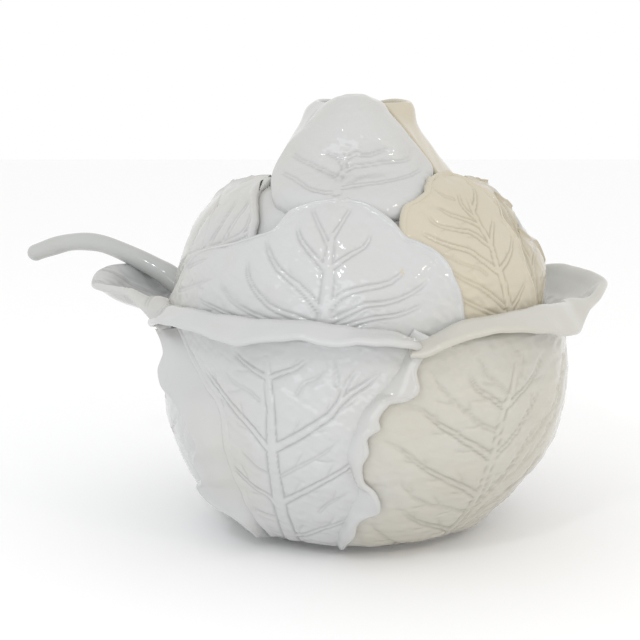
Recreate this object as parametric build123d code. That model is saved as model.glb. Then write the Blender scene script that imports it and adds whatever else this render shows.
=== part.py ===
"""Cabbage-leaf soup tureen: a footed bowl, a domed lid with a leaf finial, and a ladle.

Frame: millimetres, +Z up, origin at the centre of the foot on the table.
+X runs towards the short rim tip, -X towards the long rim tip that carries the ladle.
Angles are in degrees about +Z, counted from +X.
"""
from build123d import *
import os
from math import cos, exp, hypot, pi, radians, sin

# ---- driving sizes: bowl ----
FOOT_RADIUS = 62.0        # outer radius of the foot ring
FOOT_RING_WIDTH = 9.0
FOOT_HEIGHT = 4.0         # depth of the recess inside the foot ring
BELLY_RADIUS = 117.0      # widest radius of the plain wall, before the leaves
BELLY_HEIGHT = 92.0       # height at which the wall turns upright
BOWL_WALL = 7.0
FLOOR_HEIGHT = 12.0       # top of the bowl's floor
CREST_HEIGHT = 137.0      # top of the rolled rim, away from the tips
SEAT_HEIGHT = 121.0       # ledge that carries the lid
SEAT_WIDTH = 10.0
SEAT_DEPTH = 12.0         # height of the ledge's bracket below the seat
MOUTH_INSET = 5.0         # how far the mouth lies inside the widest wall

# ---- driving sizes: rim ----
ROLL_REACH = 21.0         # how far the rolled rim stands out past the mouth
ROLL_DROP = 8.0           # how far its edge hangs below the crest
RIM_THICKNESS = 5.0
LONG_TIP_REACH = 35.0     # extra reach of the tip that carries the ladle
SHORT_TIP_REACH = 12.0
TIP_RISE = 15.0           # how far a tip's edge stands above the rolled edge
LONG_TIP_ANGLE = 180.0
SHORT_TIP_ANGLE = 0.0
TIP_SPREAD = 22.0         # half width of a tip, in degrees
RIM_WAVES = 9
RIM_WAVE = 2.0
RIM_STATIONS = 21         # sections in each half of the rim

# ---- driving sizes: lid ----
LID_GAP = 1.5             # between the lid and the mouth
LID_WALL = 6.0
DOME_HEIGHT = 97.0        # dome above the seat
DOME_POWER = 2.6          # 2 is an ellipse, more is boxier
FLANGE_DEPTH = 8.0        # locating ring below the seat
FLANGE_WIDTH = 5.0
SEAT_CLEARANCE = 0.3      # between the lid's underside and the ledge
NECK_RADIUS = 40.0        # waist under the finial's petals
FINIAL_HEIGHT = 118.0     # top of the inner bud above the seat
PETAL_RISE = 16.0         # petals above the inner bud
PETAL_GAP_WIDTH = 34.0    # opening between two petals, at their tips
PETAL_GAP_DEPTH = 30.0
PETAL_FLARE = 4.0
PETAL_ANGLES = (-95.0, 25.0, 145.0)

# ---- driving sizes: leaves in relief ----
LEAF_BURIED = 1.5         # how deep a leaf is let into the wall
RIB_RISE = 1.2
MIDRIB_FOOT_WIDTH = 11.0
MIDRIB_TIP_WIDTH = 4.0
VEIN_WIDTH = 3.0
VEIN_PAIRS = 3
LEAF_WAVE = 2.5
# centre angle, half width at the top, thickness
BOWL_LEAVES = ((-121.0, 62.0, 2.6), (-47.0, 84.0, 4.4), (53.0, 82.0, 3.0), (150.0, 86.0, 4.4))
LID_LEAVES = ((-108.0, 72.0, 4.6), (-46.0, 50.0, 3.2), (8.0, 48.0, 2.0),
              (74.0, 62.0, 4.2), (146.0, 54.0, 2.6), (-166.0, 44.0, 2.0))

# ---- driving sizes: ladle ----
LADLE_ANGLE = 165.0       # direction in which the handle leaves the bowl
SCOOP_RADIUS = 34.0
SCOOP_WALL = 4.0
SCOOP_DEPTH = 30.0
SCOOP_CLEARANCE = 1.0     # between the scoop and the bowl's floor
STEM_RADIUS = 5.8
STEM_BULGE_RADIUS = 7.4   # where the stem crosses the rim
STEM_STATIONS = 29        # sections along the stem
HANDLE_REACH = 111.0      # from the mouth to the handle's end
HANDLE_CLEARANCE = 0.6    # between the stem and the rim
GUTTER_CLEARANCE = 1.0    # under the stem, in the ledge
NOTCH_CLEARANCE = 3.0     # beside and over the stem, in the rim and the lid
RIM_GUTTER = 5.0          # how far the rim dips under the stem

MOUTH_RADIUS = BELLY_RADIUS - MOUTH_INSET    # clear radius above the ledge
BELLY_DEPTH = BELLY_HEIGHT    # vertical half axis of the wall's ellipse
BELLY_CENTRE = 42.0           # where that ellipse is centred, out from the axis
FAR = 3.0 * BELLY_RADIUS      # longer than anything in the object


def at(radius, height):
    """A point in the XZ half plane."""
    return (radius, 0.0, height)


def round_z(angle, radius, height):
    """A point at an angle about the Z axis."""
    turn = radians(angle)
    return (radius * cos(turn), radius * sin(turn), height)


def turned(*edges):
    """The solid of revolution of a closed outline in the XZ half plane."""
    return revolve(make_face(edges), Axis.Z)


def wall_radius(height, grow=0.0):
    """Radius of the bowl's plain wall, moved outwards by grow."""
    wide = BELLY_RADIUS - BELLY_CENTRE + grow
    if height >= BELLY_HEIGHT:
        return BELLY_CENTRE + wide
    share = min(1.0, (BELLY_HEIGHT - height) / (BELLY_DEPTH + grow))
    return BELLY_CENTRE + wide * (1.0 - share**2) ** 0.5


def dome_radius(height, grow=0.0):
    """Radius of the lid's plain dome at a height above the seat, moved outwards by grow."""
    wide = MOUTH_RADIUS - LID_GAP - max(t for _, _, t in LID_LEAVES) + grow
    share = min(1.0, height / (DOME_HEIGHT + grow))
    return wide * (1.0 - share**DOME_POWER) ** (1.0 / DOME_POWER)


def steps(low, high, count):
    """count values from low to high, both included."""
    return [low + (high - low) * i / (count - 1) for i in range(count)]


# ---------------------------------------------------------------- leaves in relief

def leaf_plane(angle):
    """Local x runs round the object, local y up, and the normal points outwards."""
    turn = radians(angle)
    return Plane(origin=(0, 0, 0), x_dir=(-sin(turn), cos(turn), 0), z_dir=(cos(turn), sin(turn), 0))


def prism(angle, outline):
    """An outline drawn on a leaf's plane, carried outwards through the wall."""
    return extrude(leaf_plane(angle) * make_face(outline), amount=FAR)


def leaf_outline(half_width, low, high, foot_half_width, closes):
    """A leaf's edge: narrow at the foot, widest near its shoulder, waved along both sides."""
    heights = steps(0.0, 1.0, 7)
    side = []
    for i, share in enumerate(heights):
        swell = sin(pi * (0.12 + 0.72 * share)) if closes else sin(pi / 2 * min(1.0, share * 1.35))
        wave = LEAF_WAVE * (-1) ** i if 0 < i < len(heights) - 1 else 0.0
        side.append((foot_half_width + (half_width - foot_half_width) * swell + wave,
                     low + (high - low) * share))
    right = [(x, y) for x, y in side]
    left = [(-x, y) for x, y in reversed(side)]
    if closes:
        top = Spline([right[-1], (0, high + 0.12 * (high - low)), left[0]])
    else:
        top = Line(right[-1], left[0])
    return [Spline(right), top, Spline(left), Line(left[-1], right[0])]


def rib(x0, y0, x1, y1, width0, width1):
    """A straight tapering rib's outline."""
    length = hypot(x1 - x0, y1 - y0)
    nx, ny = -(y1 - y0) / length, (x1 - x0) / length
    half0, half1 = width0 / 2, width1 / 2
    return Polyline((x0 + nx * half0, y0 + ny * half0), (x1 + nx * half1, y1 + ny * half1),
                    (x1 - nx * half1, y1 - ny * half1), (x0 - nx * half0, y0 - ny * half0), close=True)


def ribs(angle, half_width, low, high):
    """The midrib of a leaf and its pairs of side veins, as one cutter."""
    cutter = prism(angle, rib(0, low, 0, high, MIDRIB_FOOT_WIDTH, MIDRIB_TIP_WIDTH))
    for pair in range(VEIN_PAIRS):
        start = low + (high - low) * (0.16 + 0.26 * pair)
        reach = half_width * (0.62 + 0.06 * pair)
        rise = 0.26 * (high - low)
        for side in (-1, 1):
            vein = rib(0, start, side * reach, start + rise, VEIN_WIDTH * 1.4, VEIN_WIDTH * 0.6)
            cutter += prism(angle, vein)
    return cutter


# ---------------------------------------------------------------- bowl

def wall_layer(grow, low, high):
    """A skin over the bowl's wall, from inside the wall to grow outside it."""
    heights = steps(low, high, 9)
    outer = [at(wall_radius(z, grow), z) for z in heights]
    inner = [at(wall_radius(z, -LEAF_BURIED), z) for z in reversed(heights)]
    return turned(Spline(outer), Line(outer[-1], inner[0]), Spline(inner), Line(inner[-1], outer[0]))


def bowl_core():
    """The plain turned bowl: foot ring, wall, floor and the ledge for the lid."""
    collar_top = SEAT_HEIGHT + (CREST_HEIGHT - SEAT_HEIGHT) * 0.3
    outer_wall = [at(wall_radius(z), z) for z in steps(FOOT_HEIGHT, BELLY_HEIGHT, 8)]
    inner_wall = [at(wall_radius(z, -BOWL_WALL), z) for z in steps(FLOOR_HEIGHT + 3, BELLY_HEIGHT, 7)]
    floor_edge = at(inner_wall[0][0] - 14, FLOOR_HEIGHT)
    under_seat = SEAT_HEIGHT - SEAT_DEPTH
    inside = inner_wall[-1][0]
    seat_inner = MOUTH_RADIUS - SEAT_WIDTH
    edges = [
        Polyline(at(0, FOOT_HEIGHT), at(FOOT_RADIUS - FOOT_RING_WIDTH, FOOT_HEIGHT),
                 at(FOOT_RADIUS - FOOT_RING_WIDTH, 0), at(FOOT_RADIUS, 0), outer_wall[0]),
        Spline(outer_wall),
        Polyline(outer_wall[-1], at(BELLY_RADIUS, collar_top), at(MOUTH_RADIUS, collar_top),
                 at(MOUTH_RADIUS, SEAT_HEIGHT), at(seat_inner, SEAT_HEIGHT),
                 at(seat_inner, SEAT_HEIGHT - SEAT_DEPTH * 0.4), at(inside, under_seat - 6),
                 inner_wall[-1]),
        Spline([floor_edge] + inner_wall, tangents=[(1, 0, 0), (0, 0, 1)]),
        Polyline(floor_edge, at(0, FLOOR_HEIGHT), at(0, FOOT_HEIGHT)),
    ]
    return turned(*edges)


def nearness(angle, centre, spread):
    """1 at centre, falling smoothly to 0 away from it."""
    away = (angle - centre + 180.0) % 360.0 - 180.0
    return exp(-((away / spread) ** 2))


def rim_section(angle):
    """The rolled rim cut by a half plane through the axis: one closed curve."""
    long_tip = nearness(angle, LONG_TIP_ANGLE, TIP_SPREAD)
    short_tip = nearness(angle, SHORT_TIP_ANGLE, TIP_SPREAD)
    gutter = nearness(angle, LADLE_ANGLE, 9.0)
    tip = max(long_tip, short_tip)
    wave = RIM_WAVE * sin(radians(angle) * RIM_WAVES)
    crest = CREST_HEIGHT + 0.4 * wave - 3.0 * tip - RIM_GUTTER * gutter
    edge_r = MOUTH_RADIUS + ROLL_REACH + LONG_TIP_REACH * long_tip + SHORT_TIP_REACH * short_tip + wave
    edge_z = CREST_HEIGHT - ROLL_DROP + TIP_RISE * tip + 0.5 * wave - 0.6 * RIM_GUTTER * gutter
    crest_r = MOUTH_RADIUS + 6.0
    mid_r = (crest_r + edge_r) / 2
    mid_z = (crest + edge_z) / 2 + 2.5 * (1 - tip)
    thick = RIM_THICKNESS
    under = SEAT_HEIGHT - SEAT_DEPTH * 0.5
    top = [(MOUTH_RADIUS - 0.5, SEAT_HEIGHT + 1), (MOUTH_RADIUS + 0.5, crest - 5), (crest_r, crest),
           (mid_r, mid_z), (edge_r, edge_z)]
    below = [(edge_r - 0.5, edge_z - 0.7 * thick), (mid_r, mid_z - thick), (BELLY_RADIUS + 4.5, crest - 11.0),
             (BELLY_RADIUS + 1.5, under + 1), (BELLY_RADIUS - 2.0, under - 5)]
    top = [round_z(angle, r, z) for r, z in top]
    below = [round_z(angle, r, z) for r, z in below]
    return make_face([Spline(top), Line(top[-1], below[0]), Spline(below), Line(below[-1], top[0])])


def rim():
    """The rolled leaf rim, lofted round the axis in two halves that meet at the tips."""
    halves = []
    for start in (0.0, 180.0):
        halves.append(loft([rim_section(a) for a in steps(start, start + 180.0, RIM_STATIONS)]))
    return halves[0] + halves[1]


def make_bowl():
    body = bowl_core()
    low, high = FOOT_HEIGHT + 1.0, SEAT_HEIGHT - 2.0
    for angle, half_width, thickness in BOWL_LEAVES:
        outline = leaf_outline(half_width, low, high, 12.0, closes=False)
        body += wall_layer(thickness, low, high) & prism(angle, outline)
        body += wall_layer(thickness + RIB_RISE, low, high) & ribs(angle, half_width, low, high - 6.0)
    body += rim()
    pocket = Cylinder(MOUTH_RADIUS, CREST_HEIGHT, align=(Align.CENTER, Align.CENTER, Align.MIN))
    return body - Pos(0, 0, SEAT_HEIGHT) * pocket - stem_gutter()


# ---------------------------------------------------------------- ladle

def rim_top(radius):
    """Height of the rim's upper side under the stem, from the section there."""
    section = rim_section(LADLE_ANGLE)
    beam = extrude(Pos(*round_z(LADLE_ANGLE, radius, 0)) * Circle(0.05), amount=FAR)
    hit = section & beam
    return max(v.Z for v in hit.vertices()) if hit else 0.0


def stem_path():
    """Radius out from the axis, height and thickness at points along the stem, from scoop to end."""
    over_rim = MOUTH_RADIUS + 7.0
    rest = rim_top(over_rim) + STEM_BULGE_RADIUS + HANDLE_CLEARANCE
    scoop_rim = FLOOR_HEIGHT + SCOOP_CLEARANCE + SCOOP_DEPTH
    inside = MOUTH_RADIUS - SEAT_WIDTH - STEM_BULGE_RADIUS - 8.0
    return [
        (inside - 24.0, scoop_rim - 4.0, STEM_RADIUS),
        (inside - 16.0, scoop_rim + 18.0, STEM_RADIUS),
        (inside - 6.0, SEAT_HEIGHT - 28.0, STEM_RADIUS),
        (inside + 2.0, SEAT_HEIGHT - 2.0, STEM_RADIUS + 0.6),
        (over_rim - 11.0, rest - 10.0, STEM_BULGE_RADIUS - 0.4),
        (over_rim, rest, STEM_BULGE_RADIUS),
        (over_rim + 14.0, rest + 9.0, STEM_RADIUS + 0.8),
        (over_rim + 30.0, rest + 17.5, STEM_RADIUS),
        (over_rim + 50.0, rest + 24.0, STEM_RADIUS),
        (over_rim + 68.0, rest + 25.0, STEM_RADIUS),
        (over_rim + 0.8 * (HANDLE_REACH - 7.0), rest + 22.5, STEM_RADIUS),
        (MOUTH_RADIUS + HANDLE_REACH, rest + 15.5, STEM_RADIUS - 0.5),
    ]


def scoop_centre():
    """Where the scoop's axis stands, out along the ladle's direction."""
    return stem_path()[0][0] - SCOOP_RADIUS + 1.0


def stem_gutter():
    """The gutter in the ledge and the rim that the stem lies in, open upwards."""
    rows = stem_path()[1:7]
    under = []
    for (r0, z0, _), (r, z, size), (r1, z1, _) in zip(rows, rows[1:], rows[2:]):
        length = hypot(r1 - r0, z1 - z0)
        away = size + GUTTER_CLEARANCE
        under.append((r + away * (z1 - z0) / length, z - away * (r1 - r0) / length))
    turn = radians(LADLE_ANGLE)
    side = Plane(origin=(0, 0, 0), x_dir=(cos(turn), sin(turn), 0), z_dir=(sin(turn), -cos(turn), 0))
    start = under[0][0] - 20.0
    outline = Polyline(*under, (under[-1][0], FAR), (start, FAR), (start, under[0][1]), close=True)
    return extrude(side * make_face(outline), amount=STEM_BULGE_RADIUS + NOTCH_CLEARANCE, both=True)


def bowl_curve(radius, depth, base):
    """Points down a quarter ellipse, from the bottom of a round scoop up to its rim."""
    turns = steps(0.0, pi / 2, 6)
    return [at(radius * sin(t), base + depth * (1.0 - cos(t))) for t in turns]


def eased_size(shares, sizes, share):
    """Thickness at a share of the stem's length, eased between the given ones."""
    i = max(k for k in range(len(shares) - 1) if shares[k] <= share)
    t = (share - shares[i]) / (shares[i + 1] - shares[i])
    return sizes[i] + (sizes[i + 1] - sizes[i]) * t * t * (3.0 - 2.0 * t)


def make_ladle():
    rows = stem_path()
    places = [Vector(*round_z(LADLE_ANGLE, r, z)) for r, z, _ in rows]
    line = Spline(places)
    fine = [line.position_at(i / 400) for i in range(401)]
    shares = [min(range(401), key=lambda i: (fine[i] - place).length) / 400 for place in places]
    across = (sin(radians(LADLE_ANGLE)), -cos(radians(LADLE_ANGLE)), 0)
    sections = []
    for share in steps(0.0, 1.0, STEM_STATIONS):
        plane = Plane(origin=line.position_at(share), x_dir=across, z_dir=line.tangent_at(share))
        sections.append(plane * Circle(eased_size(shares, [size for _, _, size in rows], share)))
    stem = loft(sections)
    end_r, end_z, end_size = rows[-1]
    stem += Pos(*round_z(LADLE_ANGLE, end_r, end_z)) * Sphere(end_size)

    base = FLOOR_HEIGHT + SCOOP_CLEARANCE
    outer = bowl_curve(SCOOP_RADIUS, SCOOP_DEPTH, base)
    inner = bowl_curve(SCOOP_RADIUS - SCOOP_WALL, SCOOP_DEPTH - SCOOP_WALL, base + SCOOP_WALL)
    inner.reverse()
    above = inner[0][2] + SCOOP_WALL
    shell = turned(Spline(outer), Line(outer[-1], inner[0]), Spline(inner), Line(inner[-1], outer[0]))
    hollow = turned(Spline(inner), Polyline(inner[-1], at(0, above), at(inner[0][0], above), inner[0]))
    centre = Pos(*round_z(LADLE_ANGLE, scoop_centre(), 0))
    return (centre * shell + stem) - centre * hollow


# ---------------------------------------------------------------- lid

def dome_layer(grow, high):
    """A skin over the lid's dome, from inside it to grow outside it."""
    heights = steps(0.0, high, 10)
    outer = [at(dome_radius(h, grow), SEAT_HEIGHT + SEAT_CLEARANCE + h) for h in heights]
    inner = [at(dome_radius(h, -LEAF_BURIED), SEAT_HEIGHT + SEAT_CLEARANCE + h) for h in reversed(heights)]
    return turned(Spline(outer), Line(outer[-1], inner[0]), Spline(inner), Line(inner[-1], outer[0]))


def finial_outline(grow):
    """Upper part of the lid's outline, from the dome's shoulder to the top of the bud."""
    seat = SEAT_HEIGHT + SEAT_CLEARANCE
    return [
        (NECK_RADIUS + 14 + grow, seat + DOME_HEIGHT - 7 + 0.6 * grow),
        (NECK_RADIUS + grow, seat + DOME_HEIGHT + 3 + 0.3 * grow),
        (NECK_RADIUS - 2 + grow, seat + DOME_HEIGHT + 14),
        (NECK_RADIUS - 9 + grow, seat + FINIAL_HEIGHT - 8 + 0.6 * grow),
        (0.45 * NECK_RADIUS + 0.5 * grow, seat + FINIAL_HEIGHT - 1.5 + grow),
        (0.0, seat + FINIAL_HEIGHT + grow),
    ]


def lid_core():
    """The plain turned lid: locating flange, seat, dome and the hollow bud of the finial."""
    seat = SEAT_HEIGHT + SEAT_CLEARANCE
    shoulder = DOME_HEIGHT * 0.86
    heights = steps(0.0, shoulder, 8)
    outer = [at(dome_radius(h), seat + h) for h in heights] + [at(r, z) for r, z in finial_outline(0)]
    inside = [at(dome_radius(h, -LID_WALL), seat + h) for h in steps(4.0, shoulder - LID_WALL * 0.5, 7)]
    inside += [at(r, z) for r, z in finial_outline(-LID_WALL)]
    inside.reverse()
    flange_outer = MOUTH_RADIUS - SEAT_WIDTH - LID_GAP
    flange_inner = flange_outer - FLANGE_WIDTH
    edges = [
        Spline(outer),
        Line(outer[-1], inside[0]),
        Spline(inside),
        Polyline(inside[-1], at(flange_inner, seat + 2), at(flange_inner, seat - FLANGE_DEPTH),
                 at(flange_outer, seat - FLANGE_DEPTH), at(flange_outer, seat), outer[0]),
    ]
    return turned(*edges)


def petals():
    """The finial's upright leaves: a flared cup split by a V gap between neighbours."""
    seat = SEAT_HEIGHT + SEAT_CLEARANCE
    top = seat + FINIAL_HEIGHT + PETAL_RISE
    outer = [at(NECK_RADIUS + 15, seat + DOME_HEIGHT - 10), at(NECK_RADIUS + 4, seat + DOME_HEIGHT + 3),
             at(NECK_RADIUS + PETAL_FLARE, seat + DOME_HEIGHT + 18), at(NECK_RADIUS - 1, top - 6),
             at(NECK_RADIUS - 10, top)]
    inner = [at(NECK_RADIUS - 12, top - 3.5), at(NECK_RADIUS - 6, top - 8),
             at(NECK_RADIUS - 3, seat + DOME_HEIGHT + 16), at(NECK_RADIUS - 2, seat + DOME_HEIGHT + 4),
             at(NECK_RADIUS + 9, seat + DOME_HEIGHT - 12)]
    cup = turned(Spline(outer), Line(outer[-1], inner[0]), Spline(inner), Line(inner[-1], outer[0]))
    for one, other in zip(PETAL_ANGLES, PETAL_ANGLES[1:] + PETAL_ANGLES[:1]):
        between = one + ((other - one) % 360.0) / 2
        half, deep = PETAL_GAP_WIDTH / 2, PETAL_GAP_DEPTH
        gap = Polyline((0, top - deep), (half, top + 1), (-half, top + 1), close=True)
        cup -= prism(between, gap)
    for angle in PETAL_ANGLES:
        cup += petal_rib(angle, seat, top)
    return cup


def petal_rib(angle, seat, top):
    """The raised midrib up the middle of a petal."""
    rise = RIB_RISE
    outer = [at(NECK_RADIUS + 14 + rise, seat + DOME_HEIGHT - 9),
             at(NECK_RADIUS + 4 + rise, seat + DOME_HEIGHT + 3),
             at(NECK_RADIUS + PETAL_FLARE + rise, seat + DOME_HEIGHT + 18)]
    inner = [at(r - 4, z) for r, _, z in reversed(outer)]
    band = turned(Spline(outer), Line(outer[-1], inner[0]), Spline(inner), Line(inner[-1], outer[0]))
    foot_width, tip_width = MIDRIB_FOOT_WIDTH * 0.6, VEIN_WIDTH * 0.6
    return band & prism(angle, rib(0, seat + DOME_HEIGHT - 12, 0, top - 12, foot_width, tip_width))


def stem_notch():
    """The cut in the lid's edge that the ladle's stem passes through."""
    half = STEM_BULGE_RADIUS + NOTCH_CLEARANCE
    top = stem_path()[5][1] + NOTCH_CLEARANCE + 1.0
    low = SEAT_HEIGHT - FLANGE_DEPTH - 5.0
    outline = [Line((-half, low), (-half, top)), CenterArc((0, top), half, 0, 180),
               Line((half, top), (half, low)), Line((half, low), (-half, low))]
    start = MOUTH_RADIUS - SEAT_WIDTH - STEM_BULGE_RADIUS - 20.0
    return extrude(leaf_plane(LADLE_ANGLE).offset(start) * make_face(outline), amount=FAR)


def make_lid():
    body = lid_core()
    seat = SEAT_HEIGHT + SEAT_CLEARANCE
    low, high = seat, seat + DOME_HEIGHT * 0.86
    for angle, half_width, thickness in LID_LEAVES:
        outline = leaf_outline(half_width, low - 2.0, high, 26.0, closes=True)
        body += dome_layer(thickness, DOME_HEIGHT * 0.9) & prism(angle, outline)
        veins = ribs(angle, half_width * 0.8, low, high - 12.0)
        body += dome_layer(thickness + RIB_RISE, DOME_HEIGHT * 0.8) & veins
    body += petals()
    return body - stem_notch()


if __name__ == "__main__":
    os.makedirs("parts", exist_ok=True)
    for name, shape in (("bowl", make_bowl()), ("lid", make_lid()), ("ladle", make_ladle())):
        export_step(shape, f"parts/{name}.step")
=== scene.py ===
"""A cabbage-leaf soup tureen in white glazed earthenware: bowl, lid and ladle.

Lengths are in millimetres until a mesh is made. A place on the pot is an angle round from the front
(degrees, positive towards the short rim tip), a radius from the axis and a height above the table.
"""

import bpy
import bmesh
import numpy as np
from math import cos, pi, radians, sin
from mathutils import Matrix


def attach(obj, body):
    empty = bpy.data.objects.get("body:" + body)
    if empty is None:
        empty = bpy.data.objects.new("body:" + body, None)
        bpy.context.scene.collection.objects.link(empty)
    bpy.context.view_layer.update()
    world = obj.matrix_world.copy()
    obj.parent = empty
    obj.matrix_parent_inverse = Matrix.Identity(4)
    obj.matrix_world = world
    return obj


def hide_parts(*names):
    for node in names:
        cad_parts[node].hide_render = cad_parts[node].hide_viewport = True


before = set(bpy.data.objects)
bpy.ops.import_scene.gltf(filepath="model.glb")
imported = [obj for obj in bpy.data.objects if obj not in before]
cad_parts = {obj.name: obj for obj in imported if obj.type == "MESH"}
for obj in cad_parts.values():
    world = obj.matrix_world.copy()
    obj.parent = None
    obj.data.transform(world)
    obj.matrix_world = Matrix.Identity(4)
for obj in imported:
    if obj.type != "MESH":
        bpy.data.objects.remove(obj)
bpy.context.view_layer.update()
MM = 0.001


# ---------------------------------------------------------------- lines and surfaces

def spot(turn, radius, height):
    """Points in space from an angle round from the front, a radius and a height."""
    turn, radius, height = np.broadcast_arrays(*(np.asarray(a, float) for a in (turn, radius, height)))
    angle = np.radians(turn)
    return np.stack([radius * np.sin(angle), -radius * np.cos(angle), height], axis=-1)


def smooth(knots, at):
    """A smooth line through knots, read at shares from 0 to 1 of its length. Knots may be points or rows."""
    knots = np.asarray(knots, float)
    at = np.asarray(at, float)
    if len(knots) == 1:
        return np.repeat(knots, len(at), axis=0)
    gaps = np.linalg.norm(np.diff(knots, axis=0).reshape(len(knots) - 1, -1), axis=1)
    place = np.concatenate([[0.0], np.cumsum(np.maximum(gaps, 1e-6))])
    place /= place[-1]
    shape = (-1,) + (1,) * (knots.ndim - 1)
    step = np.diff(place).reshape(shape)
    slope = np.diff(knots, axis=0) / step
    middle = (slope[:-1] * step[1:] + slope[1:] * step[:-1]) / (step[:-1] + step[1:])
    tangent = np.concatenate([slope[:1], middle, slope[-1:]])
    i = np.clip(np.searchsorted(place, at, side="right") - 1, 0, len(place) - 2)
    h = (place[i + 1] - place[i]).reshape(shape)
    t = ((at - place[i]).reshape(shape)) / h
    return ((2 * t**3 - 3 * t**2 + 1) * knots[i] + (t**3 - 2 * t**2 + t) * h * tangent[i]
            + (3 * t**2 - 2 * t**3) * knots[i + 1] + (t**3 - t**2) * h * tangent[i + 1])


def eased(low, high, value):
    """0 below low, 1 above high, smooth between."""
    share = np.clip((np.asarray(value, float) - low) / (high - low), 0.0, 1.0)
    return share * share * (3.0 - 2.0 * share)


FINER = 0.6    # size and height of each octave's bumps, as a share of the octave before
WAVES = 5      # plane waves that are summed in an octave


def wobble(position, wave, seed, octaves=3):
    """A smooth uneven value from about -1 to 1 over space, with bumps about one wave long."""
    dice = np.random.default_rng(seed)
    total = np.zeros(position.shape[:-1])
    for octave in range(octaves):
        for _ in range(WAVES):
            way = dice.normal(size=3)
            way *= 2 * pi / (np.linalg.norm(way) * wave * FINER**octave * dice.uniform(0.8, 1.4))
            total += np.sin(position @ way + dice.uniform(0, 2 * pi)) * FINER**octave
    return total / 4.0


STEP = 0.6         # mm up and down over which a surface's lean is read
STEEPEST = 6.0     # steepest lean that is followed, mm out per mm up


class Turned:
    """A turned surface, a little fuller on one side: (height, radius) pairs up its left and its right side."""

    def __init__(self, left, right):
        self.sides = []
        for pairs in (left, right):
            dense = smooth(pairs, np.linspace(0, 1, 1200))
            self.sides.append((np.maximum.accumulate(dense[:, 0] + np.arange(len(dense)) * 1e-6), dense[:, 1]))

    def radius(self, turn, height):
        left, right = (np.interp(height, *side) for side in self.sides)
        return left + (right - left) * (0.5 + 0.5 * np.sin(np.radians(turn)))

    def at(self, turn, height, away=0.0):
        """Points at an angle and a height, away outside the surface along its normal."""
        turn, height = np.asarray(turn, float), np.asarray(height, float)
        lean = (self.radius(turn, height + STEP) - self.radius(turn, height - STEP)) / (2 * STEP)
        lean = np.clip(lean, -STEEPEST, STEEPEST)
        size = np.sqrt(1.0 + lean**2)
        return spot(turn, self.radius(turn, height) + away / size, height - away * lean / size)


# ---------------------------------------------------------------- leaf sheets

def leaf_rows(left, spine, right, across, along):
    """(angle, height) places over a leaf, from its two edges and its spine, each given from foot to tip.

    A row crosses the leaf from the left edge over the spine to the right edge.
    """
    v = np.linspace(0, 1, along + 1)
    left, spine, right = (smooth(line, v)[:, None, :] for line in (left, spine, right))
    u = spread(across)[None, :, None]
    return spine + (right - left) / 2 * u + ((right + left) / 2 - spine) * u**2


def spread(count, crowd=0.86):
    """Shares from -1 to 1, closer together near both ends."""
    flat = np.linspace(0, 1, count + 1)
    return 2 * (flat - crowd * np.sin(2 * pi * flat) / (2 * pi)) - 1


def net(rows, across, along):
    """A smooth sheet through rows of control points; each row crosses the sheet from left to right."""
    u = (spread(across) + 1) / 2
    crossed = np.stack([smooth(row, u) for row in rows])
    v = (spread(along, 0.6) + 1) / 2
    return smooth(crossed, v)


def edge_gaps(sheet):
    """Distance over the sheet from each of its points to the left, right, foot and tip edges."""
    sideways = np.linalg.norm(np.diff(sheet, axis=1), axis=2)
    left = np.concatenate([np.zeros((len(sheet), 1)), np.cumsum(sideways, axis=1)], axis=1)
    upward = np.linalg.norm(np.diff(sheet, axis=0), axis=2)
    foot = np.concatenate([np.zeros((1, sheet.shape[1])), np.cumsum(upward, axis=0)], axis=0)
    return left, left[:, -1:] - left, foot, foot[-1:] - foot


def facing(sheet):
    """Unit normals of a sheet, outwards when its rows run to the right and its columns up."""
    across = np.gradient(sheet, axis=1)
    along = np.gradient(sheet, axis=0)
    normal = np.cross(across, along)
    size = np.linalg.norm(normal, axis=2, keepdims=True)
    good = size[..., 0] > 1e-9
    normal = normal / np.maximum(size, 1e-9)
    for _ in range(2):
        if not good.all():
            fill = np.cumsum(np.where(good[..., None], normal, 0), axis=0)
            fill /= np.maximum(np.linalg.norm(fill, axis=2, keepdims=True), 1e-9)
            normal = np.where(good[..., None], normal, fill)
    return normal


TOUCHING = 1e-6    # metres between corners that count as one


def sheet_object(name, front, back, hollow):
    """A closed sheet from its front and back points, which meet along the edge. hollow is kept as an attribute."""
    along, across = front.shape[0] - 1, front.shape[1] - 1
    bm = bmesh.new()
    bmesh.ops.create_grid(bm, x_segments=across, y_segments=along, size=1.0)
    grown = bmesh.ops.extrude_face_region(bm, geom=bm.faces[:])
    raised = [g for g in grown["geom"] if isinstance(g, bmesh.types.BMVert)]
    bmesh.ops.translate(bm, verts=raised, vec=(0, 0, 1))
    depth = bm.verts.layers.float.new("hollow")
    for vert in bm.verts:
        i = round((vert.co.x + 1) / 2 * across)
        j = round((vert.co.y + 1) / 2 * along)
        vert[depth] = hollow[j, i]
        vert.co = (front if vert.co.z > 0.5 else back)[j, i] * MM
    bmesh.ops.remove_doubles(bm, verts=bm.verts, dist=2 * TOUCHING)
    bmesh.ops.dissolve_degenerate(bm, edges=bm.edges, dist=TOUCHING)
    bmesh.ops.recalc_face_normals(bm, faces=bm.faces)
    return finished(name, bm)


def finished(name, bm):
    """The object of a bmesh, smooth shaded, linked into the scene."""
    mesh = bpy.data.meshes.new(name)
    for face in bm.faces:
        face.smooth = True
    bm.to_mesh(mesh)
    bm.free()
    piece = bpy.data.objects.new(name, mesh)
    bpy.context.scene.collection.objects.link(piece)
    return piece


def rounded(gap, thickness):
    """Half thickness of a sheet at a distance from its edge: a full round at the edge."""
    radius = thickness * 0.55    # a little over half, so that the edge isn't a knife's
    return thickness / 2 * np.sqrt(1.0 - (1.0 - np.clip(gap / radius, 0, 1)) ** 2)


# ---------------------------------------------------------------- veins

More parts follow.
